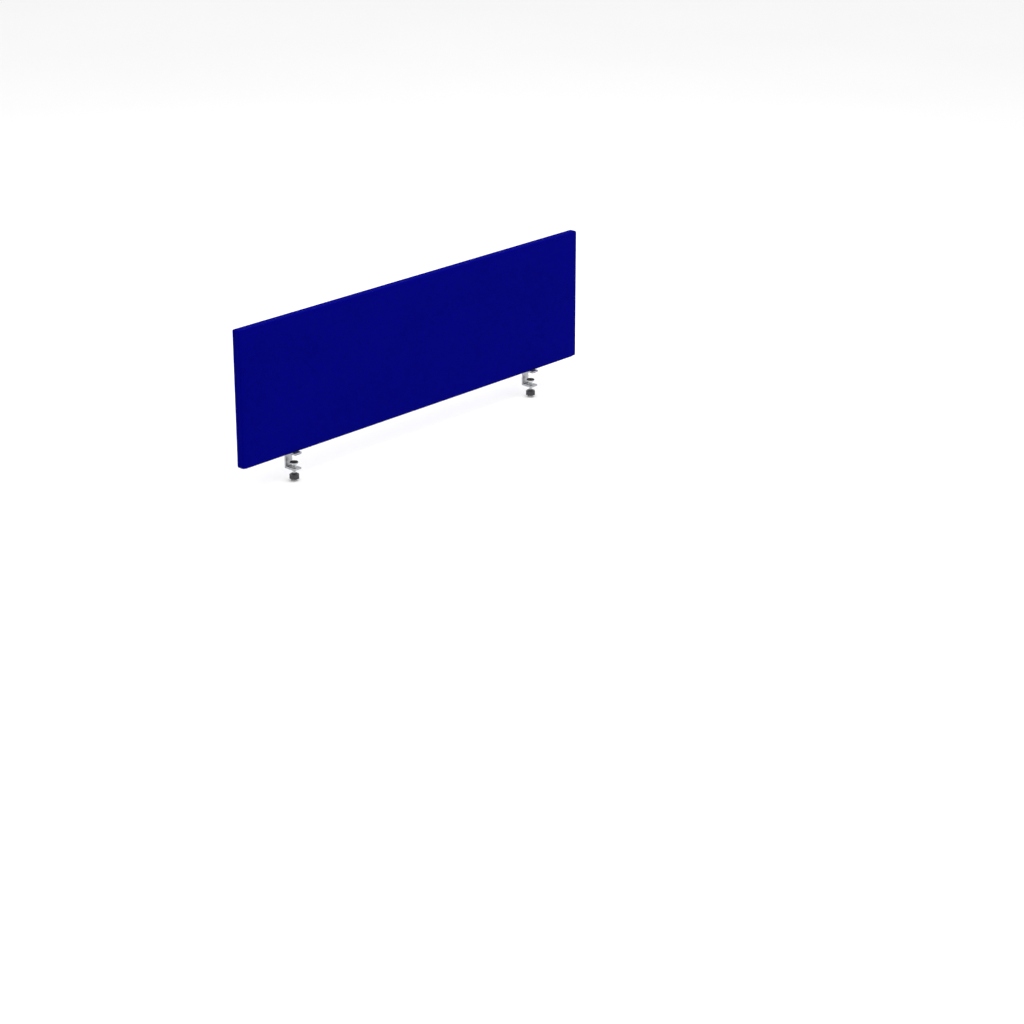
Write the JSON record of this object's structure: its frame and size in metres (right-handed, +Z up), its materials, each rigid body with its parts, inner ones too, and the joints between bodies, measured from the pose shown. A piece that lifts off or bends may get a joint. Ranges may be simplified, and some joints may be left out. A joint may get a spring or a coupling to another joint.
{
  "type": "desk privacy panel",
  "caption": "Slim upholstered privacy panel that stands along a desk's rear edge, held by C-clamps with a knob-turned spindle and a rubber-faced pressure foot.",
  "frame": {"origin": "on the top rear edge of the worktop that the clamps grip, at the middle of the panel's length", "axes": "+X along the panel, to the right of a person at the desk; +Y to the rear, away from that person; +Z up"},
  "size_m": [1.4, 0.045, 0.482],
  "materials": {
    "upholstery": "matte",
    "foam": "matte",
    "core_board": "matte",
    "strip_plastic": "matte",
    "staple_wire": "satin",
    "plated_steel": "satin",
    "clamp_aluminium": "satin",
    "pad_rubber": "matte",
    "knob_plastic": "satin"
  },
  "bodies": {
    "panel": {"panel_core": "core_board", "foam_front": "foam", "foam_rear": "foam", "fabric_cover": "upholstery", "cover_staples": "staple_wire", "bottom_strip": "strip_plastic", "panel_inserts_left": "plated_steel", "panel_screws_left": "plated_steel", "clamp_bracket_left": "clamp_aluminium", "jaw_pad_left": "pad_rubber", "threaded_bush_left": "plated_steel", "panel_inserts_right": "plated_steel", "panel_screws_right": "plated_steel", "clamp_bracket_right": "clamp_aluminium", "jaw_pad_right": "pad_rubber", "threaded_bush_right": "plated_steel"},
    "foot_left": {"pressure_plate_left": "plated_steel", "pressure_pad_left": "pad_rubber"},
    "spindle_left": {"clamp_spindle_left": "plated_steel", "spindle_clip_left": "plated_steel", "clamp_knob_left": "knob_plastic"},
    "foot_right": {"pressure_plate_right": "plated_steel", "pressure_pad_right": "pad_rubber"},
    "spindle_right": {"clamp_spindle_right": "plated_steel", "spindle_clip_right": "plated_steel", "clamp_knob_right": "knob_plastic"}
  },
  "joints": [
    {"name": "foot_travel_left", "type": "slide", "parent": "panel", "child": "foot_left", "axis": [0, 0, 1], "range_m": [-0.006, 0.01]},
    {"name": "spindle_turn_left", "type": "hinge", "parent": "foot_left", "child": "spindle_left", "pos_m": [-0.5, -0.02, -0.0336], "axis": [0, 0, 1], "range_deg": [-1728, 2880]},
    {"name": "foot_travel_right", "type": "slide", "parent": "panel", "child": "foot_right", "axis": [0, 0, 1], "range_m": [-0.006, 0.01]},
    {"name": "spindle_turn_right", "type": "hinge", "parent": "foot_right", "child": "spindle_right", "pos_m": [0.5, -0.02, -0.0336], "axis": [0, 0, 1], "range_deg": [-1728, 2880]}
  ],
  "couplings": [
    {"joint": "foot_travel_left", "follows": "spindle_turn_left", "m_per_rad": 0.00019894},
    {"joint": "foot_travel_right", "follows": "spindle_turn_right", "m_per_rad": 0.00019894}
  ]
}
